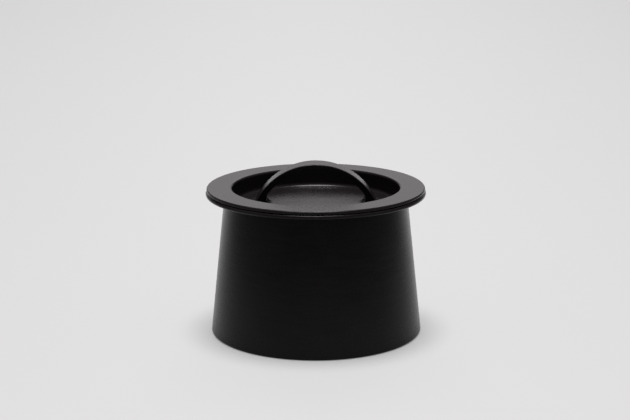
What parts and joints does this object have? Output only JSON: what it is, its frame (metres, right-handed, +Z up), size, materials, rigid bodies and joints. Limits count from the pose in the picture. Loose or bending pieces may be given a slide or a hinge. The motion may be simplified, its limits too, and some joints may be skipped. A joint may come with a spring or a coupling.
{
  "type": "sugar bowl",
  "caption": "Lidded sugar bowl with a slightly conical body, a wide thin rim flange, and a flat lid whose recessed pan drops into the mouth and carries an arched strap handle.",
  "frame": {"origin": "centre of the foot, on the surface that the bowl stands on", "axes": "+Z up along the axis of the bowl and lid; +X along the handle's arch, from one foot to the other; -Y is the front"},
  "size_m": [0.1088, 0.1088, 0.0852],
  "materials": {
    "black_glaze": "satin black glaze on dark stoneware; the foot ring is left bare"
  },
  "bodies": {
    "bowl": {"bowl": "black_glaze"},
    "lid": {"lid": "black_glaze", "handle": "black_glaze"}
  },
  "joints": [
    {"name": "lid_lift", "type": "slide", "parent": "bowl", "child": "lid", "axis": [0, 0, 1], "range_m": [0, 0.06]}
  ]
}
